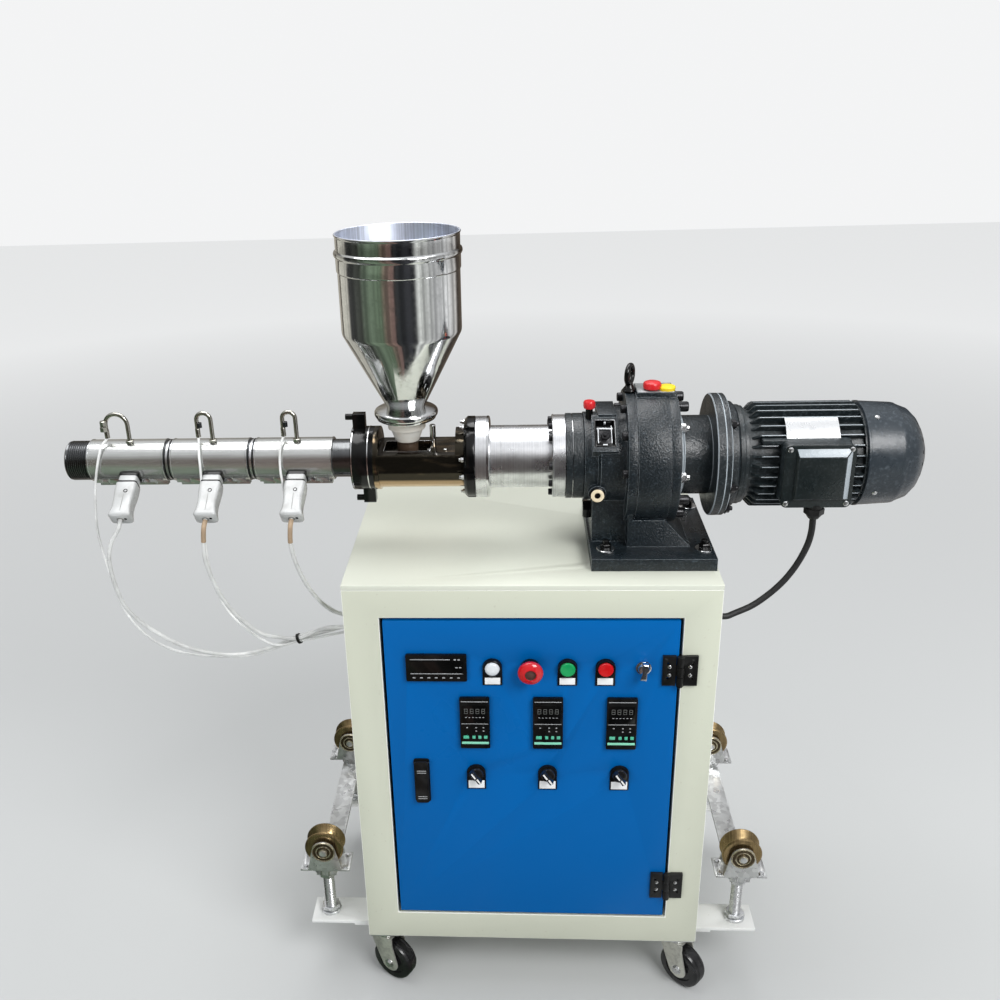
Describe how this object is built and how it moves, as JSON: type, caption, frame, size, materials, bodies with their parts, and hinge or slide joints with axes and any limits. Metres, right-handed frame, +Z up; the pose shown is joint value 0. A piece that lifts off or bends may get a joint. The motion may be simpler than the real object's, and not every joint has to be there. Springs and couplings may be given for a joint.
{
  "type": "plastic extruder",
  "caption": "Small single-screw plastic extruder with heated barrel, steel hopper and gear motor on a wheeled control cabinet with side roller outriggers.",
  "frame": {"origin": "middle of the whole machine's box, on the ground that its casters stand on", "axes": "+X along the machine axis from the barrel's nose to the motor, +Y to the back, +Z up"},
  "size_m": [1.369, 0.453, 1.321],
  "materials": {
    "cabinet_paint": "semi-gloss warm light grey paint",
    "top_paint": "satin white paint",
    "zinc": "galvanised, slightly dull",
    "black_steel": "satin black",
    "gear_paint": "hammered blue-grey paint over casting",
    "fittings_paint": "gloss caps and black steel",
    "black_plastic": "matt black",
    "machined_steel": "turned steel with fine marks",
    "browned_steel": "glossy brown-black heat-treated steel",
    "cream_plastic": "matt cream",
    "heater_metal": "brushed, slightly stained",
    "polished_steel": "polished stainless steel",
    "cable_sheath": "braided pale sheath",
    "black_sheath": "matt black",
    "door_paint": "gloss blue paint",
    "green_plastic": "gloss green",
    "red_plastic": "gloss red",
    "knob_plastic": "gloss black",
    "chrome_plate": "polished",
    "fork_paint": "light grey-olive plating",
    "black_rubber": "matt black",
    "yellow_zinc": "yellow zinc plating"
  },
  "bodies": {
    "machine": {"cabinet_walls": "cabinet_paint", "cabinet_floor": "cabinet_paint", "front_surround": "cabinet_paint", "cabinet_top": "top_paint", "outrigger_plates": "top_paint", "caster_plates": "zinc", "jack_screws": "zinc", "roller_beams": "zinc", "heater_plugs": "zinc", "frame_hinge_leaves": "black_steel", "ring_nut": "black_steel", "gearbox_housing": "gear_paint", "gearbox_input_cover": "gear_paint", "motor_flange": "gear_paint", "motor_body": "gear_paint", "fan_cowl": "gear_paint", "terminal_box": "gear_paint", "gearbox_fittings": "fittings_paint", "cable_glands": "black_plastic", "cable_tie": "black_plastic", "drive_flanges": "machined_steel", "spacer_sleeve": "machined_steel", "barrel_clamp": "machined_steel", "extruder_screw": "machined_steel", "thermocouples": "machined_steel", "feed_section": "browned_steel", "barrel": "browned_steel", "throat_collar": "cream_plastic", "heater_bands": "heater_metal", "hopper": "polished_steel", "heater_cables": "cable_sheath", "thermocouple_leads": "cable_sheath", "motor_cable": "black_sheath"},
    "door": {"door_panel": "door_paint", "door_hardware": "black_steel", "digital_meter": "black_plastic", "temperature_controllers": "black_plastic", "indicator_lamp": "polished_steel", "control_bezels": "black_plastic"},
    "latch_flap": {"door_handle": "black_steel"},
    "green_button": {"green_button": "green_plastic"},
    "red_button": {"red_button": "red_plastic"},
    "emergency_stop": {"emergency_stop": "red_plastic"},
    "key_knob": {"key_knob": "chrome_plate"},
    "selector_1": {"selector_knob_1": "knob_plastic"},
    "selector_2": {"selector_knob_2": "knob_plastic"},
    "selector_3": {"selector_knob_3": "knob_plastic"},
    "caster_1": {"caster_fork_1": "fork_paint"},
    "caster_wheel_1": {"caster_wheel_1": "black_rubber"},
    "roller_1": {"roller_1": "yellow_zinc"},
    "caster_2": {"caster_fork_2": "fork_paint"},
    "caster_wheel_2": {"caster_wheel_2": "black_rubber"},
    "roller_2": {"roller_2": "yellow_zinc"},
    "caster_3": {"caster_fork_3": "fork_paint"},
    "caster_wheel_3": {"caster_wheel_3": "black_rubber"},
    "roller_3": {"roller_3": "yellow_zinc"},
    "caster_4": {"caster_fork_4": "fork_paint"},
    "caster_wheel_4": {"caster_wheel_4": "black_rubber"},
    "roller_4": {"roller_4": "yellow_zinc"}
  },
  "joints": [
    {"name": "door_hinge", "type": "hinge", "parent": "machine", "child": "door", "pos_m": [0.301, -0.2045, 0.464], "axis": [0, 0, 1], "range_deg": [0, 120]},
    {"name": "latch_hinge", "type": "hinge", "parent": "door", "child": "latch_flap", "pos_m": [-0.1095, -0.2047, 0.4945], "axis": [-1, 0, 0], "range_deg": [0, 60]},
    {"name": "green_button_press", "type": "slide", "parent": "door", "child": "green_button", "axis": [0, 1, 0], "range_m": [0, 0.004], "stiffness_N_per_m": 600},
    {"name": "red_button_press", "type": "slide", "parent": "door", "child": "red_button", "axis": [0, 1, 0], "range_m": [0, 0.004], "stiffness_N_per_m": 600},
    {"name": "emergency_stop_press", "type": "slide", "parent": "door", "child": "emergency_stop", "axis": [0, 1, 0], "range_m": [0, 0.004]},
    {"name": "selector_1_turn", "type": "hinge", "parent": "door", "child": "selector_1", "pos_m": [-0.0195, -0.2085, 0.473], "axis": [0, 1, 0], "range_deg": [0, 90]},
    {"name": "selector_2_turn", "type": "hinge", "parent": "door", "child": "selector_2", "pos_m": [0.0975, -0.2085, 0.473], "axis": [0, 1, 0], "range_deg": [0, 90]},
    {"name": "selector_3_turn", "type": "hinge", "parent": "door", "child": "selector_3", "pos_m": [0.2145, -0.2085, 0.473], "axis": [0, 1, 0], "range_deg": [0, 90]},
    {"name": "key_turn", "type": "hinge", "parent": "door", "child": "key_knob", "pos_m": [0.245, -0.2085, 0.675], "axis": [0, 1, 0], "range_deg": [0, 90]},
    {"name": "caster_1_swivel", "type": "hinge", "parent": "machine", "child": "caster_1", "pos_m": [-0.1925, -0.1705, 0.097], "axis": [0, 0, 1], "continuous": true},
    {"name": "caster_wheel_1_roll", "type": "hinge", "parent": "caster_1", "child": "caster_wheel_1", "pos_m": [-0.17864, -0.1785, 0.04], "axis": [0.5, 0.866, 0], "continuous": true},
    {"name": "caster_2_swivel", "type": "hinge", "parent": "machine", "child": "caster_2", "pos_m": [0.3315, -0.1705, 0.097], "axis": [0, 0, 1], "continuous": true},
    {"name": "caster_wheel_2_roll", "type": "hinge", "parent": "caster_2", "child": "caster_wheel_2", "pos_m": [0.34339, -0.18121, 0.04], "axis": [0.6691, 0.7431, 0], "continuous": true},
    {"name": "caster_3_swivel", "type": "hinge", "parent": "machine", "child": "caster_3", "pos_m": [-0.1925, 0.1985, 0.097], "axis": [0, 0, 1], "continuous": true},
    {"name": "caster_wheel_3_roll", "type": "hinge", "parent": "caster_3", "child": "caster_wheel_3", "pos_m": [-0.17747, 0.19303, 0.04], "axis": [0.342, 0.9397, 0], "continuous": true},
    {"name": "caster_4_swivel", "type": "hinge", "parent": "machine", "child": "caster_4", "pos_m": [0.3315, 0.1985, 0.097], "axis": [0, 0, 1], "continuous": true},
    {"name": "caster_wheel_4_roll", "type": "hinge", "parent": "caster_4", "child": "caster_wheel_4", "pos_m": [0.34411, 0.18865, 0.04], "axis": [0.6157, 0.788, 0], "continuous": true},
    {"name": "roller_1_roll", "type": "hinge", "parent": "machine", "child": "roller_1", "pos_m": [-0.2965, -0.1465, 0.2725], "axis": [0, 1, 0], "continuous": true},
    {"name": "roller_2_roll", "type": "hinge", "parent": "machine", "child": "roller_2", "pos_m": [0.4355, -0.1465, 0.2725], "axis": [0, 1, 0], "continuous": true},
    {"name": "roller_3_roll", "type": "hinge", "parent": "machine", "child": "roller_3", "pos_m": [-0.2965, 0.1745, 0.2725], "axis": [0, 1, 0], "continuous": true},
    {"name": "roller_4_roll", "type": "hinge", "parent": "machine", "child": "roller_4", "pos_m": [0.4355, 0.1745, 0.2725], "axis": [0, 1, 0], "continuous": true}
  ]
}
